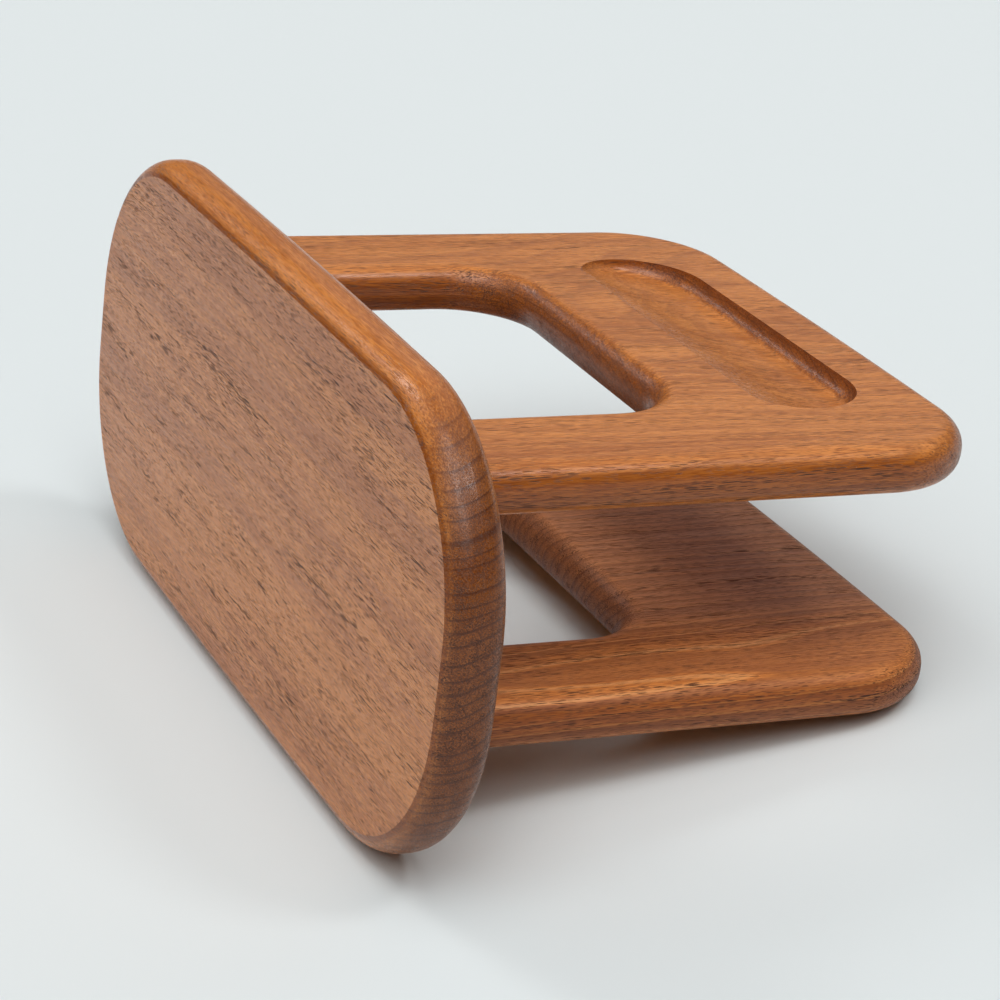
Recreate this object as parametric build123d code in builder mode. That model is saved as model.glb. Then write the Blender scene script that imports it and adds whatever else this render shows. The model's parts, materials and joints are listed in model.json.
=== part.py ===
"""Desk telephone stand in oiled teak: a rounded back plate and two U-shaped shelves, dowelled together.

Units are millimetres and degrees. +Z is up, the floor is z = 0 and the front, with the pen tray, faces -Y.
The stand rests on the back plate's lower edge and the lower shelf's front edge, so the shelves slope
down to the front. The origin is on the floor, under the middle of the whole stand.
"""

from build123d import *
from math import asin, atan2, cos, hypot, radians, sin, sqrt
import os

# ---------------------------------------------------------------- driving dimensions
# Back plate: a board on its long edge, with large round corners and slightly bowed edges
PLATE_LENGTH = 344.0  # along X, at mid height
PLATE_HEIGHT = 159.5  # at mid length
PLATE_THICKNESS = 20.0
PLATE_RISE = 30.15  # top edge above the upper shelf's top face
PLATE_CORNER_RADIUS = 68.0
PLATE_END_BOW = 3.0  # how far the short edges bulge past their corners
PLATE_SIDE_BOW = 2.0  # how far the long edges bulge past their corners
PLATE_EDGE_RADIUS = 9.0

# Shelves: two alike, butting the plate's inner face with their two arms
SHELF_WIDTH = 240.0
SHELF_DEPTH = 201.5  # from the plate to the middle of the front edge
SHELF_THICKNESS = 17.5
SHELF_PITCH = 80.7  # top face to top face
SHELF_CORNER_RADIUS = 40.0
SHELF_FRONT_BOW = 2.0
SHELF_EDGE_RADIUS = 8.0  # of the outer rims and the cut-out's, nearly a full half round

# Cut-out between a shelf's arms, open to the plate
CUTOUT_WIDTH = 142.0
CUTOUT_DEPTH = 101.5
CUTOUT_CORNER_RADIUS = 25.0

# The plate's planed outer face meets the round along its rim at this angle, as a fine crisp line
FACE_BREAK = 18.0

# Pen tray in the upper shelf: a slot whose hollow floor dips to the front
TRAY_LENGTH = 160.0
TRAY_FRONT = 175.5  # plate to the tray's front edge
TRAY_BACK = 131.5  # plate to the line where the floor runs out into the face
TRAY_WALL = 6.2  # height of the front wall
TRAY_FLOOR_RADIUS = 150.0  # the floor's hollow, from back to front
TRAY_COVE_RADIUS = 5.0
TRAY_OVERRUN = 7.5  # how far the slot's outline passes the line where the floor runs out

# Blind dowels, two in each arm
DOWEL_DIAMETER = 8.0
DOWEL_LENGTH = 30.0
DOWEL_SPACING = 24.0  # between the two in one arm
DOWEL_CHAMFER = 0.8
FLUTE_COUNT = 12
FLUTE_RADIUS = 0.45
BORE_DIAMETER = 8.1
PLATE_BORE_DEPTH = 13.0
ARM_BORE_DEPTH = 19.0
BORE_END_SPACE = (PLATE_BORE_DEPTH + ARM_BORE_DEPTH - DOWEL_LENGTH) / 2

# Room that an edge's place is given when it is picked out by position
PICK_MARGIN = 0.5

# ---------------------------------------------------------------- how the stand rests
# Points below are (toward the back, up) from the upper shelf's top face at the plate's inner face,
# square to the shelves. The two rounds that touch the floor set the tilt.
plate_bottom = PLATE_RISE - PLATE_HEIGHT
plate_foot = (PLATE_EDGE_RADIUS, plate_bottom + PLATE_EDGE_RADIUS)
shelf_foot = (
    SHELF_EDGE_RADIUS - SHELF_DEPTH,
    SHELF_EDGE_RADIUS - SHELF_THICKNESS - SHELF_PITCH,
)
feet_run = plate_foot[0] - shelf_foot[0]
feet_rise = shelf_foot[1] - plate_foot[1]
feet_difference = PLATE_EDGE_RADIUS - SHELF_EDGE_RADIUS
tilt = atan2(feet_rise, feet_run) + asin(feet_difference / hypot(feet_run, feet_rise))


def height(point):
    """How far a point of the tilted stand is above the stand's own origin."""
    return point[0] * sin(tilt) + point[1] * cos(tilt)


def reach(point):
    """How far a point of the tilted stand is behind the stand's own origin."""
    return point[0] * cos(tilt) - point[1] * sin(tilt)


# What is planed off the plate's outer face after its rim is rounded
plate_trim = PLATE_EDGE_RADIUS * (1 - cos(radians(FACE_BREAK)))

# The rearmost line is where the plate's outer face breaks into its lower round,
# and the frontmost is on the upper shelf's upper front round.
face_break_drop = PLATE_EDGE_RADIUS * sin(radians(FACE_BREAK))
rearmost = reach((PLATE_THICKNESS, plate_foot[1] - face_break_drop))
frontmost = reach((shelf_foot[0], -SHELF_EDGE_RADIUS)) - SHELF_EDGE_RADIUS

# Tops of the two shelves: x across, y toward the plate, z up out of the face
upper_top = Plane(
    origin=(0, -(rearmost + frontmost) / 2, PLATE_EDGE_RADIUS - height(plate_foot)),
    x_dir=(1, 0, 0),
    z_dir=(0, -sin(tilt), cos(tilt)),
)
lower_top = upper_top.offset(-SHELF_PITCH)

# The plate's inner face, facing the front: x across, y up the plate
joint_face = Plane(origin=upper_top.origin, x_dir=upper_top.x_dir, z_dir=-upper_top.y_dir)
toward_plate = Axis(origin=upper_top.origin, direction=upper_top.y_dir)

# ---------------------------------------------------------------- where the dowels sit
arm_middle = (SHELF_WIDTH + CUTOUT_WIDTH) / 4
shelf_middles = {
    "upper": -SHELF_THICKNESS / 2,
    "lower": -SHELF_THICKNESS / 2 - SHELF_PITCH,
}
sides = {"left": -1, "right": 1}
places = {"inner": -DOWEL_SPACING / 2, "outer": DOWEL_SPACING / 2}


def dowel_seats(shelf):
    """The dowels of one shelf by name, with their places on the joint face."""
    seats = {}
    for side, sign in sides.items():
        for place, offset in places.items():
            seat = (sign * (arm_middle + offset), shelf_middles[shelf])
            seats[f"dowel_{shelf}_{side}_{place}"] = seat
    return seats


def bores(shelf):
    """The outlines of one shelf's dowel bores, on the joint face."""
    with BuildSketch(joint_face) as outlines:
        with Locations(*dowel_seats(shelf).values()):
            Circle(BORE_DIAMETER / 2)
    return outlines.sketch


# ---------------------------------------------------------------- back plate
with BuildPart() as back_plate:
    corner_x = PLATE_LENGTH / 2 - PLATE_END_BOW
    corner_y = PLATE_HEIGHT / 2 - PLATE_SIDE_BOW
    plate_centre = Plane(joint_face.location * Location((0, PLATE_RISE - PLATE_HEIGHT / 2, 0)))
    with BuildSketch(plate_centre) as plate_outline:
        with BuildLine():
            ThreePointArc((-corner_x, -corner_y), (0, -PLATE_HEIGHT / 2), (corner_x, -corner_y))
            ThreePointArc((corner_x, -corner_y), (PLATE_LENGTH / 2, 0), (corner_x, corner_y))
            ThreePointArc((corner_x, corner_y), (0, PLATE_HEIGHT / 2), (-corner_x, corner_y))
            ThreePointArc((-corner_x, corner_y), (-PLATE_LENGTH / 2, 0), (-corner_x, -corner_y))
        make_face()
        fillet(plate_outline.vertices(), PLATE_CORNER_RADIUS)
    extrude(amount=-(PLATE_THICKNESS + plate_trim))
    rims = back_plate.edges().group_by(toward_plate)
    fillet(rims[0] + rims[-1], PLATE_EDGE_RADIUS)
    split(bisect_by=joint_face.offset(-PLATE_THICKNESS), keep=Keep.TOP)
    for shelf in shelf_middles:
        extrude(bores(shelf), amount=-PLATE_BORE_DEPTH, mode=Mode.SUBTRACT)
back_plate.part.label = "back_plate"


# ---------------------------------------------------------------- shelves
def shelf_blank(top, shelf):
    """One shelf with its cut-out and dowel bores, hanging from the plane of its top face."""
    up = Axis(origin=top.origin, direction=top.z_dir)
    with BuildPart() as blank:
        with BuildSketch(top) as outline:
            side_x = SHELF_WIDTH / 2
            corner_y = SHELF_FRONT_BOW - SHELF_DEPTH
            with BuildLine():
                Line((side_x, 0), (side_x, corner_y))
                ThreePointArc((side_x, corner_y), (0, -SHELF_DEPTH), (-side_x, corner_y))
                Line((-side_x, corner_y), (-side_x, 0))
                Line((-side_x, 0), (side_x, 0))
            make_face()
            fillet(outline.vertices().group_by(Axis.Y)[0], SHELF_CORNER_RADIUS)
        extrude(amount=-SHELF_THICKNESS)
        rims = blank.edges().group_by(up)
        outer_rims = (rims[0] + rims[-1]).filter_by_position(toward_plate, -SHELF_DEPTH, -PICK_MARGIN)
        fillet(outer_rims, SHELF_EDGE_RADIUS)

        with BuildSketch(top):
            RectangleRounded(CUTOUT_WIDTH, 2 * CUTOUT_DEPTH, CUTOUT_CORNER_RADIUS)
        extrude(amount=-SHELF_THICKNESS, mode=Mode.SUBTRACT)
        rims = blank.edges().group_by(up)
        cutout_reach = CUTOUT_WIDTH / 2 + PICK_MARGIN
        cutout_rims = (
            (rims[0] + rims[-1])
            .filter_by_position(toward_plate, -CUTOUT_DEPTH - PICK_MARGIN, -PICK_MARGIN)
            .filter_by_position(Axis.X, -cutout_reach, cutout_reach)
        )
        fillet(cutout_rims, SHELF_EDGE_RADIUS)

        extrude(bores(shelf), amount=ARM_BORE_DEPTH, mode=Mode.SUBTRACT)
    return blank.part


with BuildPart() as lower_shelf:
    add(shelf_blank(lower_top, "lower"))
lower_shelf.part.label = "lower_shelf"

# The tray's floor is part of a large cylinder that lies along the shelf. Its section runs from the
# foot of the front wall up to the line where the floor runs out.
tray_width = TRAY_FRONT - TRAY_BACK
tray_slope = atan2(TRAY_WALL, tray_width)
centre_rise = sqrt(TRAY_FLOOR_RADIUS**2 - (hypot(tray_width, TRAY_WALL) / 2) ** 2)
floor_centre = (
    -(TRAY_FRONT + TRAY_BACK) / 2 - centre_rise * sin(tray_slope),
    -TRAY_WALL / 2 + centre_rise * cos(tray_slope),
)
tray_section = Plane(origin=upper_top.origin, x_dir=upper_top.y_dir, z_dir=upper_top.x_dir)

with BuildPart() as tray_cutter:
    with BuildSketch(upper_top.offset(-SHELF_THICKNESS)):
        with Locations((0, (TRAY_OVERRUN - TRAY_BACK - TRAY_FRONT) / 2)):
            SlotOverall(TRAY_LENGTH, tray_width + TRAY_OVERRUN)
    extrude(amount=2 * SHELF_THICKNESS)
    with BuildSketch(tray_section):
        with Locations(floor_centre):
            Circle(TRAY_FLOOR_RADIUS)
    extrude(amount=TRAY_LENGTH, both=True, mode=Mode.INTERSECT)
    out_of_shelf = Axis(origin=upper_top.origin, direction=upper_top.z_dir)
    tray_bottom = tray_cutter.faces().sort_by(out_of_shelf)[0]
    fillet(tray_bottom.edges(), TRAY_COVE_RADIUS)

with BuildPart() as upper_shelf:
    add(shelf_blank(upper_top, "upper"))
    add(tray_cutter.part, mode=Mode.SUBTRACT)
upper_shelf.part.label = "upper_shelf"

# ---------------------------------------------------------------- dowels
dowels = []
for shelf in shelf_middles:
    for name, seat in dowel_seats(shelf).items():
        dowel_end = joint_face.location * Location((*seat, BORE_END_SPACE - PLATE_BORE_DEPTH))
        with BuildPart() as dowel:
            with BuildSketch(Plane(dowel_end)):
                Circle(DOWEL_DIAMETER / 2)
            extrude(amount=DOWEL_LENGTH)
            chamfer(dowel.edges().filter_by(GeomType.CIRCLE), DOWEL_CHAMFER)
            with BuildSketch(Plane(dowel_end)):
                with PolarLocations(DOWEL_DIAMETER / 2, FLUTE_COUNT):
                    Circle(FLUTE_RADIUS)
            extrude(amount=DOWEL_LENGTH, mode=Mode.SUBTRACT)
        dowel.part.label = name
        dowels.append(dowel.part)

# ---------------------------------------------------------------- export, one file per piece
os.makedirs("parts", exist_ok=True)
for piece in [back_plate.part, upper_shelf.part, lower_shelf.part, *dowels]:
    export_step(piece, f"parts/{piece.label}.step")
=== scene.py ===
"""Teak desk telephone stand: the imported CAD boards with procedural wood, on a pale studio floor."""

import json
import math

import bpy
from mathutils import Matrix, Vector

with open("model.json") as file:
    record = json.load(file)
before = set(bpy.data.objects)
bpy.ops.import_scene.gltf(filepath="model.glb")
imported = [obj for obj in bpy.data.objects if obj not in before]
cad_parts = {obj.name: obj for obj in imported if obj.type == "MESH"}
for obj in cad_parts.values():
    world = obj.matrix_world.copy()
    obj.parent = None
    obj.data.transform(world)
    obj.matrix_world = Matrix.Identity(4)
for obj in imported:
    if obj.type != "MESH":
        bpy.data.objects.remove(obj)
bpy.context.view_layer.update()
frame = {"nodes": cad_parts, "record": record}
record = frame["record"]
nodes = frame["nodes"]


# ---------------------------------------------------------------- the stand's own axes
def mount_axis(name):
    """The direction in which one of the record's mounts faces."""
    mount = next(mount for mount in record["mounts"] if mount["name"] == name)
    return Vector(mount["axis"]).normalized()


# Square to the boards: across is +X, back runs toward the plate, up leaves the shelves' faces
across = Vector((1, 0, 0))
back = mount_axis("back_face")
up = mount_axis("telephone_rest")
tilt = math.atan2(back.z, back.y)

# ---------------------------------------------------------------- node trees
# The sockets of a Mix node that hold its share and its colours
MIX_SHARE = 0
MIX_FIRST = 6
MIX_SECOND = 7
MIX_RESULT = 2


class Tree:
    """A material's node tree, with short calls for the nodes the wood is made of."""

    def __init__(self, name):
        self.material = bpy.data.materials.new(name)
        self.material.use_nodes = True
        self.nodes = self.material.node_tree.nodes
        self.links = self.material.node_tree.links
        self.shader = self.nodes["Principled BSDF"]

    def put(self, socket, value):
        """Links a socket to another, or sets its value."""
        if isinstance(value, bpy.types.NodeSocket):
            self.links.new(value, socket)
        else:
            socket.default_value = value

    def node(self, kind, inputs=(), **settings):
        """Makes a node from its settings and its inputs by name."""
        made = self.nodes.new(kind)
        for name, value in settings.items():
            setattr(made, name, value)
        for name, value in dict(inputs).items():
            self.put(made.inputs[name], value)
        return made

    def math(self, operation, first, second=0.0, third=0.0, clamp=False):
        """Works out one operation on numbers."""
        made = self.node("ShaderNodeMath", operation=operation, use_clamp=clamp)
        for socket, value in zip(made.inputs, (first, second, third)):
            self.put(socket, value)
        return made.outputs[0]

    def vector(self, operation, first, second=(0, 0, 0)):
        """Works out one operation on vectors. A dot product or a length gives a number."""
        made = self.node("ShaderNodeVectorMath", operation=operation)
        self.put(made.inputs[0], first)
        self.put(made.inputs[1], second)
        return made.outputs["Value" if operation in ("DOT_PRODUCT", "LENGTH") else "Vector"]

    def ramp(self, value, low, high, start=0.0, end=1.0, smooth=True):
        """Maps value from low..high to start..end, held at both ends."""
        made = self.node(
            "ShaderNodeMapRange",
            {"Value": value, "From Min": low, "From Max": high, "To Min": start, "To Max": end},
            interpolation_type="SMOOTHSTEP" if smooth else "LINEAR",
        )
        return made.outputs["Result"]

    def stripe(self, value, rise, fall):
        """Fades in over one range of value and out over another, and is zero beyond them."""
        return self.math("MULTIPLY", self.ramp(value, *rise), self.ramp(value, *fall))

    def mix(self, share, first, second, blend="MIX"):
        """Mixes two colours."""
        made = self.node("ShaderNodeMix", data_type="RGBA", blend_type=blend)
        self.put(made.inputs[MIX_SHARE], share)
        self.put(made.inputs[MIX_FIRST], first)
        self.put(made.inputs[MIX_SECOND], second)
        return made.outputs[MIX_RESULT]

    def noise(self, place, detail=2.0, roughness=0.5):
        """Cloudy noise from 0 to 1, mostly near 0.5, with features about one unit wide."""
        made = self.node(
            "ShaderNodeTexNoise",
            {"Vector": place, "Scale": 1.0, "Detail": detail, "Roughness": roughness},
            noise_dimensions="3D",
        )
        return made.outputs["Fac"]

    def cells(self, place):
        """Distance to the nearest of scattered points, about one to each unit cube."""
        made = self.node("ShaderNodeTexVoronoi", {"Vector": place, "Scale": 1.0})
        return made.outputs["Distance"]


def linear(red, green, blue):
    """A colour given as 0-255 screen values, in the linear values that shaders take."""
    def channel(value):
        share = value / 255
        return share / 12.92 if share <= 0.04045 else ((share + 0.055) / 1.055) ** 2.4
    return (channel(red), channel(green), channel(blue), 1.0)


# ---------------------------------------------------------------- wood: its colours
# side is what the colour is multiplied by for painted shade on a band just past the plate's crease
# and on the shelves' narrow sides, and end is what it is multiplied by on end grain
TEAK = {
    "light": linear(214, 135, 68),
    "dark": linear(178, 103, 47),
    "late": linear(128, 70, 38),
    "pale": linear(226, 158, 96),
    # painted light: a lighter, greyer tint for the part of the lower shelf in the upper shelf's
    # shadow
    "shade_lift": linear(196, 134, 94),
    "pore": linear(66, 34, 18),
    # painted shade: the multiplier for the band just past the plate's crease and for the shelves'
    # narrow sides
    "side": (0.58, 0.46, 0.28, 1.0),
    "end": (0.4, 0.31, 0.19, 1.0),
}
SHELF_TEAK = dict(TEAK, end=(0.66, 0.54, 0.38, 1.0))
BEECH = {
    "light": linear(222, 190, 150),
    "dark": linear(203, 165, 124),
    "late": linear(178, 136, 98),
    "pale": linear(228, 198, 160),
    "pore": linear(160, 118, 84),
    "side": (1.0, 1.0, 1.0, 1.0),
    "end": (0.8, 0.74, 0.68, 1.0),
}

# ---------------------------------------------------------------- wood: its structure
# Lengths are in millimetres, in the log's own axes: X and Y across the fibres and Z along them
MM_PER_METRE = 1000
SEED_SHIFT = Vector((37, 53, 71))

# What depends on the board's own axis that the fibres follow: which of its axes become the log's,
# which directions lie along the fibres, out of a narrow side and out of a broad face, how dark the
# ring lines are on end grain, how much narrow sides change the pores, and whether the board has a
# crease where a planed face meets its rounded edge, which also decides whether painted shade goes on
# a band just past that crease or on the narrow sides
GRAINS = {
    "x": {
        "order": ("Z", "Y", "X"),
        "faces": (across, up, back),
        "end_lines": 0.85,
        "side_pores": -0.6,
        "creased": True,
    },
    "y": {
        "order": ("X", "Z", "Y"),
        "faces": (back, across, up),
        "end_lines": 0.4,
        "side_pores": 0.35,
        "creased": False,
    },
}

# Noise patterns, each with its size across and along the fibres
BROAD = {"size": (15, 340), "roughness": 0.55}
STREAK = {"size": (1.8, 150), "detail": 3.0, "roughness": 0.65}
LINE = {"size": (0.9, 60), "roughness": 0.6, "offset": (5, 23, 2)}
FINE = {"size": (0.4, 7), "roughness": 0.7}
PATCH = {"size": (4, 70), "roughness": 0.6, "offset": (7, 3, 11)}
NOISE_LOW = 0.3
NOISE_HIGH = 0.7

# How much each pattern adds to the tone, either way, between the light and the dark colour
BROAD_TONE = 0.4
STREAK_TONE = 0.2
LINE_TONE = 0.3
FINE_TONE = 0.7

# The slow wander of the fibres, to either side
WANDER = 3.0
WANDER_RANGE = (0.2, 0.8)
WANDER_X = {"across_mm": 45, "along_mm": 190}
WANDER_Y = {"across_mm": 38, "along_mm": 160, "offset": (91, 17, 5)}

# Unevenness of the rings: over how many ring widths it changes, and by how many it moves them
UNEVEN_SPAN = 2.7
UNEVEN_DEPTH = 2.4

# Parts of a ring, as shares of its width, with the ranges in which each fades in and out
LATE_WOOD = ((0.35, 0.93), (0.99, 0.94))
RING_LINE = ((0.7, 0.9), (1.0, 0.93))
PALE_LINE = ((0.0, 0.03), (0.16, 0.05))
EARLY_FADE = (0.03, 0.5)

# Where a surface counts as end grain, and where painted shade falls on a narrow side and on a band
# just past the plate's crease, by how squarely it faces along the fibres, out of a narrow side and
# out of a broad face
END_GRAIN = (0.12, 0.8)
PAINTED_SHADE_SIDE = (0.6, 0.95)
PAINTED_SHADE_CREASE = ((0.82, 0.9), (0.98, 0.955))

# How far the painted tint for the upper shelf's shadow shows between its streaks, and how much it
# takes from the pale lines
SHADE_LIFT_STREAKS = (0.2, 0.7, 0.95, 0.6)
SHADE_LIFT_HIDES = -0.9

# Pores of three kinds, each with its spacing across and along the fibres, and with its width,
# as a share of that spacing, where pores are rare and where they crowd
HAIR = {"size": (0.38, 5), "rare": 0.27, "common": 0.42}
VESSEL = {"size": (0.52, 8), "rare": 0.14, "common": 0.4, "offset": (13, 7, 29)}
GASH = {"size": (0.68, 17), "rare": -0.06, "common": 0.32, "offset": (31, 19, 3)}
HAIR_DEPTH = 0.45
VESSEL_DEPTH = 0.85
CROWD_RANGE = (0.35, 0.85)
CROWD_IN_EARLY_WOOD = 0.12
WIDER_ON_END_GRAIN = 0.1
PORE_RIM = (-0.07, 0.06)

# Dark specks on end grain, where the fine pattern is high
SPECKLE = (0.42, 0.58, 0.0, 0.55)

# Satin oil, and the relief of the pores and fibres, whose depth is in metres
ROUGHNESS = 0.31
STREAK_ROUGHNESS = 0.04
PORE_ROUGHNESS = 0.35
OIL_IOR = 1.46
FINE_RELIEF = 0.35
STREAK_RELIEF = 0.15
RELIEF_STRENGTH = 0.6
RELIEF_DEPTH = 0.00014


class Wood(Tree):
    """Solid wood, cut from a log, so that its figure runs through the board."""

    def __init__(self, name, palette, grain, seed):
        super().__init__(name)
        self.palette = palette
        self.grain = GRAINS[grain]
        self.shift = SEED_SHIFT * seed
        self.fibre = self.wandering(self.place_in_log())
        self.find_faces()
        self.streak = self.pattern(**STREAK)
        self.fine = self.pattern(**FINE)

    def place_in_log(self):
        """The board's coordinates, square to it, in millimetres and in the log's axes."""
        place = self.node("ShaderNodeTexCoord").outputs["Object"]
        square = {"Vector": place, "Rotation": (-tilt, 0, 0)}
        turned = self.node("ShaderNodeMapping", square, vector_type="POINT").outputs["Vector"]
        in_mm = self.vector("MULTIPLY", turned, (MM_PER_METRE,) * 3)
        split = self.node("ShaderNodeSeparateXYZ", {"Vector": in_mm}).outputs
        swapped = {axis: split[source] for axis, source in zip("XYZ", self.grain["order"])}
        log = self.node("ShaderNodeCombineXYZ", swapped).outputs["Vector"]
        return self.vector("ADD", log, self.shift)

    def stretched(self, source, across_mm, along_mm, offset=(0, 0, 0)):
        """Coordinates in which one unit is so many millimetres across and along the fibres."""
        moved = self.vector("ADD", source, offset)
        return self.vector("MULTIPLY", moved, (1 / across_mm, 1 / across_mm, 1 / along_mm))

    def pattern(self, size, detail=2.0, roughness=0.5, offset=(0, 0, 0)):
        """Noise drawn out along the fibres."""
        return self.noise(self.stretched(self.fibre, *size, offset), detail, roughness)

    def spread(self, noise, depth, middle=0.0):
        """Maps noise to as much as depth below and above the middle."""
        return self.ramp(noise, NOISE_LOW, NOISE_HIGH, middle - depth, middle + depth)

    def wandering(self, log):
        """The log's coordinates with a slow wander, so that no line is quite straight."""
        drift = {}
        for axis, size in (("X", WANDER_X), ("Y", WANDER_Y)):
            slow = self.noise(self.stretched(log, **size), detail=1.0)
            drift[axis] = self.ramp(slow, *WANDER_RANGE, -WANDER, WANDER, smooth=False)
        wander = self.node("ShaderNodeCombineXYZ", drift).outputs["Vector"]
        return self.vector("ADD", log, wander)

    def find_faces(self):
        """How squarely the surface faces along the fibres, sideways and out of a broad face."""
        facing = self.node("ShaderNodeTexCoord").outputs["Normal"]
        ends, self.sides, self.flatness = [
            self.math("ABSOLUTE", self.vector("DOT_PRODUCT", facing, tuple(axis)))
            for axis in self.grain["faces"]
        ]
        self.end_share = self.ramp(ends, *END_GRAIN)

    def grow_rings(self, pith, taper, ring_width):
        """Growth rings about the pith, whose radius changes along the log."""
        centre = (pith[0] + self.shift.x, pith[1] + self.shift.y, self.shift.z)
        from_pith = self.vector("SUBTRACT", self.fibre, centre)
        parts = self.node("ShaderNodeSeparateXYZ", {"Vector": from_pith}).outputs
        self.from_pith_x = parts["X"]
        flat = self.node("ShaderNodeCombineXYZ", {"X": parts["X"], "Y": parts["Y"]})
        round_pith = self.vector("LENGTH", flat.outputs["Vector"])
        radius = self.math("MULTIPLY_ADD", parts["Z"], taper, round_pith)
        slow = self.math("DIVIDE", radius, ring_width * UNEVEN_SPAN)
        along_radius = self.node("ShaderNodeCombineXYZ", {"X": slow})
        uneven = self.noise(along_radius.outputs["Vector"], detail=1.0)
        even = self.math("DIVIDE", radius, ring_width)
        phase = self.math("FRACT", self.math("MULTIPLY_ADD", uneven, UNEVEN_DEPTH, even))
        self.late = self.stripe(phase, *LATE_WOOD)
        self.ring_line = self.stripe(phase, *RING_LINE)
        self.pale = self.stripe(phase, *PALE_LINE)
        self.early = self.math("SUBTRACT", 1.0, self.ramp(phase, *EARLY_FADE))

    def fibre_colour(self, bands):
        """Broad bands, streaks and fibres between the light and the dark colour."""
        tone = self.spread(self.pattern(**BROAD), BROAD_TONE * bands, middle=0.5)
        tone = self.math("ADD", tone, self.spread(self.streak, STREAK_TONE))
        tone = self.math("ADD", tone, self.spread(self.pattern(**LINE), LINE_TONE))
        tone = self.math("ADD", tone, self.spread(self.fine, FINE_TONE), clamp=True)
        return self.mix(tone, self.palette["light"], self.palette["dark"])

    def paint_shade_lift(self, colour, shade_lift):
        """A lighter, greyer tint painted over a pair of distances across the log, in streaks, with
        fainter pale lines there: painted light and grey haze where the upper shelf's shadow falls.
        """
        inside = self.ramp(self.from_pith_x, *shade_lift)
        inside = self.math("MULTIPLY", inside, self.ramp(self.streak, *SHADE_LIFT_STREAKS))
        shown = self.math("MULTIPLY_ADD", inside, SHADE_LIFT_HIDES, 1.0)
        self.pale = self.math("MULTIPLY", self.pale, shown)
        return self.mix(inside, colour, self.palette["shade_lift"])

    def draw_rings(self, colour, rings, flame):
        """The rings' pale and dark lines, and darker lines where the rings are cut across."""
        colour = self.mix(self.math("MULTIPLY", self.pale, flame), colour, self.palette["pale"])
        colour = self.mix(self.math("MULTIPLY", self.late, rings), colour, self.palette["late"])
        end_lines = self.math("MULTIPLY", self.end_share, self.grain["end_lines"])
        end_lines = self.math("MULTIPLY", self.ring_line, end_lines)
        return self.mix(end_lines, colour, self.palette["late"])

    def vessels(self, crowd, size, rare, common, offset=(0, 0, 0)):
        """Pores of one kind, wider where they crowd."""
        gap = self.cells(self.stretched(self.fibre, *size, offset))
        width = self.ramp(crowd, *CROWD_RANGE, rare, common)
        width = self.math("MULTIPLY_ADD", self.end_share, WIDER_ON_END_GRAIN, width)
        return self.ramp(self.math("SUBTRACT", gap, width), *PORE_RIM, 1.0, 0.0)

    def open_pores(self, pores):
        """Long thin pores of all kinds, gathered in patches and in the early wood."""
        crowd = self.math("MULTIPLY_ADD", self.early, CROWD_IN_EARLY_WOOD, self.pattern(**PATCH))
        hair = self.math("MULTIPLY", self.vessels(crowd, **HAIR), HAIR_DEPTH)
        vessel = self.math("MULTIPLY", self.vessels(crowd, **VESSEL), VESSEL_DEPTH)
        pore = self.math("MAXIMUM", hair, vessel)
        pore = self.math("MAXIMUM", pore, self.vessels(crowd, **GASH))
        share = self.math("MULTIPLY_ADD", self.sides, self.grain["side_pores"] * pores, pores)
        self.pore = self.math("MULTIPLY", pore, share, clamp=True)

    def shade_edges(self, colour):
        """Paints shade on a band just past the crease or on the narrow sides, and darkens the end
        grain, which drinks more oil.
        """
        # Painted shade: a darker band just past the plate's crease, or darker narrow sides on the
        # shelves
        if self.grain["creased"]:
            painted_shade_share = self.stripe(self.flatness, *PAINTED_SHADE_CREASE)
        else:
            painted_shade_share = self.ramp(self.sides, *PAINTED_SHADE_SIDE)
        painted_shade_colour = self.mix(1.0, colour, self.palette["side"], "MULTIPLY")
        end_colour = self.mix(1.0, colour, self.palette["end"], "MULTIPLY")
        colour = self.mix(painted_shade_share, colour, painted_shade_colour)
        return self.mix(self.end_share, colour, end_colour)

    def draw_pores(self, colour):
        """The pores' dark insides, and the specks on end grain."""
        speckle = self.math("MULTIPLY", self.end_share, self.ramp(self.fine, *SPECKLE))
        return self.mix(self.math("MAXIMUM", self.pore, speckle), colour, self.palette["pore"])

    def oil(self, gloss):
        """Satin oil, dull inside the pores."""
        rough = self.spread(self.streak, STREAK_ROUGHNESS, middle=ROUGHNESS - gloss)
        rough = self.math("MULTIPLY_ADD", self.pore, PORE_ROUGHNESS, rough)
        self.put(self.shader.inputs["Roughness"], rough)
        self.shader.inputs["IOR"].default_value = OIL_IOR

    def carve(self):
        """The relief of the fibres, with the pores sunk into it."""
        streaks = self.math("MULTIPLY", self.streak, STREAK_RELIEF)
        relief = self.math("MULTIPLY_ADD", self.fine, FINE_RELIEF, streaks)
        relief = self.math("SUBTRACT", relief, self.pore)
        inputs = {"Strength": RELIEF_STRENGTH, "Distance": RELIEF_DEPTH, "Height": relief}
        bump = self.node("ShaderNodeBump", inputs)
        self.put(self.shader.inputs["Normal"], bump.outputs["Normal"])


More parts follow.
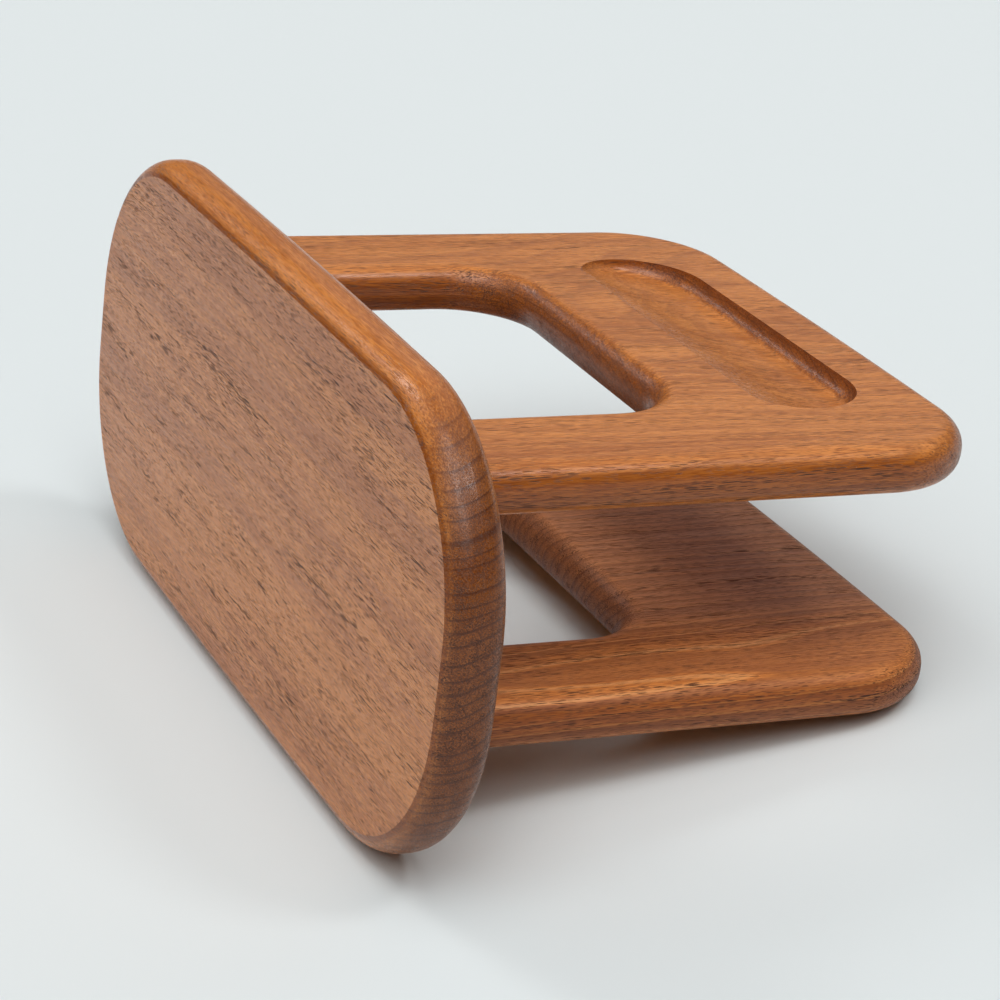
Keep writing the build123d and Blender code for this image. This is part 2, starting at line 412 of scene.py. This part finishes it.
def wood(
    name, palette, grain, seed, pith, ring_width,
    taper=0.0, rings=0.3, flame=0.1, bands=1.0, pores=1.0, gloss=0.0, shade_lift=None,
):
    """A board's material.

    grain is "x" or "y": the board's own axis that the fibres follow. pith is where the log's centre
    lies from the stand's origin, in millimetres, on the two other axes. taper is how much a ring's
    radius grows along the fibres, and ring_width is in millimetres. rings and flame say how strongly
    the dark and the pale lines of the rings show, and bands and pores say the same of the broad
    bands and the pores. gloss makes the oil smoother. The last argument is the pair of distances
    across the log, in millimetres, between which a lighter, greyer tint is painted over the wood:
    painted light and grey haze where the upper shelf's shadow falls on the lower shelf.
    """
    board = Wood(name, palette, grain, seed)
    board.grow_rings(pith, taper, ring_width)
    board.open_pores(pores)
    colour = board.fibre_colour(bands)
    # Painted light: a lighter, greyer tint where the upper shelf's shadow falls
    if shade_lift:
        colour = board.paint_shade_lift(colour, shade_lift)
    colour = board.draw_rings(colour, rings, flame)
    colour = board.shade_edges(colour)
    colour = board.draw_pores(colour)
    board.put(board.shader.inputs["Base Color"], colour)
    board.oil(gloss)
    board.carve()
    return board.material


# ---------------------------------------------------------------- the boards and the dowels
def plate_teak():
    """Coarse teak with open pores, which shows end grain at the plate's two ends."""
    return wood(
        "teak_plate", TEAK, "x", seed=1, pith=(-150, 30), ring_width=4.2, taper=0.004,
        rings=0.12, bands=1.2, pores=1.05, gloss=0.03,
    )


def upper_teak():
    """Fine, even teak."""
    return wood(
        "teak_upper", SHELF_TEAK, "y", seed=2, pith=(45, -190), ring_width=2.4, taper=0.03,
        rings=0.28, bands=0.8, pores=0.8, gloss=0.02,
    )


def lower_teak():
    """Duller teak with pale and dark ring lines, with a lighter, greyer tint painted away from its
    near arm: painted light and grey haze where the upper shelf's shadow falls.
    """
    return wood(
        "teak_lower", SHELF_TEAK, "y", seed=3, pith=(-104, -28), ring_width=4.4, taper=0.022,
        rings=0.45, flame=0.7, bands=0.6, gloss=-0.16, shade_lift=(18, 48),
    )


def dowel_beech():
    """Plain beech."""
    return wood("beech", BEECH, "y", seed=5, pith=(-40, -30), ring_width=2.4, pores=0.5)


def paint(node_name, material):
    """Gives a CAD node one material."""
    mesh = nodes[node_name].data
    mesh.materials.clear()
    mesh.materials.append(material)


paint("back_plate", plate_teak())
paint("upper_shelf", upper_teak())
paint("lower_shelf", lower_teak())
beech = dowel_beech()
for node_name in nodes:
    if node_name.startswith("dowel_"):
        paint(node_name, beech)

# ---------------------------------------------------------------- camera
# The photograph's view: degrees from -Y toward +X, degrees above the floor, degrees of roll, metres
# from the point aimed at, and the lens and sensor in millimetres
VIEW_AZIMUTH = 246.616
VIEW_ELEVATION = 24.93
VIEW_ROLL = -1.316
VIEW_DISTANCE = 1.05116
AIM = Vector((-0.00456, 0.01596, 0.05606))
LENS = 107.676
SENSOR_WIDTH = 36.0


def place_camera():
    """A camera at the photograph's viewing angle."""
    azimuth = math.radians(VIEW_AZIMUTH)
    elevation = math.radians(VIEW_ELEVATION)
    toward_camera = Vector((
        math.sin(azimuth) * math.cos(elevation),
        -math.cos(azimuth) * math.cos(elevation),
        math.sin(elevation),
    ))
    camera = bpy.data.objects.new("camera", bpy.data.cameras.new("camera"))
    bpy.context.scene.collection.objects.link(camera)
    camera.data.lens = LENS
    camera.data.sensor_width = SENSOR_WIDTH
    camera.location = AIM + toward_camera * VIEW_DISTANCE
    camera.rotation_mode = "QUATERNION"
    roll = Matrix.Rotation(math.radians(VIEW_ROLL), 3, "Z").to_quaternion()
    camera.rotation_quaternion = (-toward_camera).to_track_quat("-Z", "Y") @ roll
    bpy.context.scene.camera = camera


place_camera()

# ---------------------------------------------------------------- studio
FLOOR_SIZE = 12.0
FLOOR_COLOUR = (0.71, 0.755, 0.76, 1)
FLOOR_ROUGHNESS = 0.8
FLOOR_SPECULAR = 0.25
BACKDROP_COLOUR = (0.9, 0.97, 1.0, 1)
BACKDROP_STRENGTH = 0.03


def floor_paper():
    """Pale matt paper."""
    tree = Tree("floor_paper")
    tree.shader.inputs["Base Color"].default_value = FLOOR_COLOUR
    tree.shader.inputs["Roughness"].default_value = FLOOR_ROUGHNESS
    tree.shader.inputs["Specular IOR Level"].default_value = FLOOR_SPECULAR
    return tree.material


def hang_backdrop():
    """A dim, even glow from all around."""
    world = bpy.data.worlds.new("studio")
    world.use_nodes = True
    backdrop = world.node_tree.nodes["Background"]
    backdrop.inputs["Color"].default_value = BACKDROP_COLOUR
    backdrop.inputs["Strength"].default_value = BACKDROP_STRENGTH
    bpy.context.scene.world = world


def soft_light(name, azimuth, elevation, spread, strength):
    """A distant soft box, with its angles in degrees.

    azimuth turns from +X toward +Y, spread is how wide the box looks, and strength is how bright it
    makes a white surface that faces it, with 1 for white.
    """
    lamp = bpy.data.lights.new(name, "SUN")
    lamp.angle = math.radians(spread)
    lamp.energy = math.pi * strength
    box = bpy.data.objects.new(name, lamp)
    bpy.context.scene.collection.objects.link(box)
    turn = math.radians(azimuth)
    rise = math.radians(elevation)
    way = Vector((math.cos(turn) * math.cos(rise), math.sin(turn) * math.cos(rise), math.sin(rise)))
    box.rotation_euler = (-way).to_track_quat("-Z", "Y").to_euler()


bpy.ops.mesh.primitive_plane_add(size=FLOOR_SIZE, location=(0, 0, 0))
floor = bpy.context.object
floor.name = "floor"
floor.data.materials.append(floor_paper())
hang_backdrop()

soft_light("overhead", azimuth=180, elevation=78, spread=40, strength=0.35)
soft_light("overhead_far", azimuth=30, elevation=56, spread=40, strength=0.05)
soft_light("overhead_left", azimuth=122, elevation=56, spread=44, strength=0.2)
soft_light("overhead_near", azimuth=196, elevation=58, spread=44, strength=0.07)
soft_light("near_side", azimuth=168, elevation=50, spread=34, strength=0.19)
soft_light("near_box", azimuth=236, elevation=55, spread=12, strength=0.15)
soft_light("front_glow", azimuth=290, elevation=46, spread=44, strength=0.06)
soft_light("far_box", azimuth=19, elevation=44, spread=14, strength=0.1)
soft_light("far_glow", azimuth=22, elevation=32, spread=12, strength=0.045)
soft_light("horizon", azimuth=326, elevation=25, spread=34, strength=0.03)
soft_light("left_fill", azimuth=100, elevation=34, spread=44, strength=0.05)

bpy.context.scene.view_settings.view_transform = "Standard"
